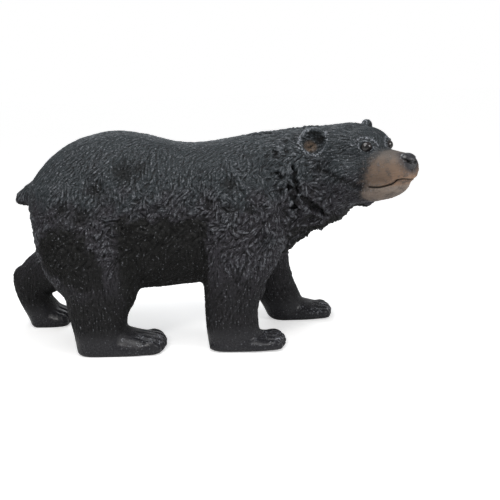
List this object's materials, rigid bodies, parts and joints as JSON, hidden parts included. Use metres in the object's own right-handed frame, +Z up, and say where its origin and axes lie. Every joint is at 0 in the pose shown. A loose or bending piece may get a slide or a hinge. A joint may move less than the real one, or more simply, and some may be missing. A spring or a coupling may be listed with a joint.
{
  "type": "walking bear statue",
  "caption": "Life-like garden statue of a walking black bear, cast in one hollow piece, head turned to its right, one hind foot pushing off.",
  "frame": {"origin": "on the ground under the middle of the bounding box", "axes": "+X the way the body faces, from tail to head; +Z up; -Y the bear's right side, the way its head is turned"},
  "size_m": [0.914, 0.359, 0.47],
  "materials": {
    "black_paint": "cast resin painted satin black, with the raised fur brushed cool grey, a tan muzzle and inner ears, and a glossy black nose and eyes"
  },
  "bodies": {
    "root": {"bear": "black_paint"}
  },
  "joints": []
}
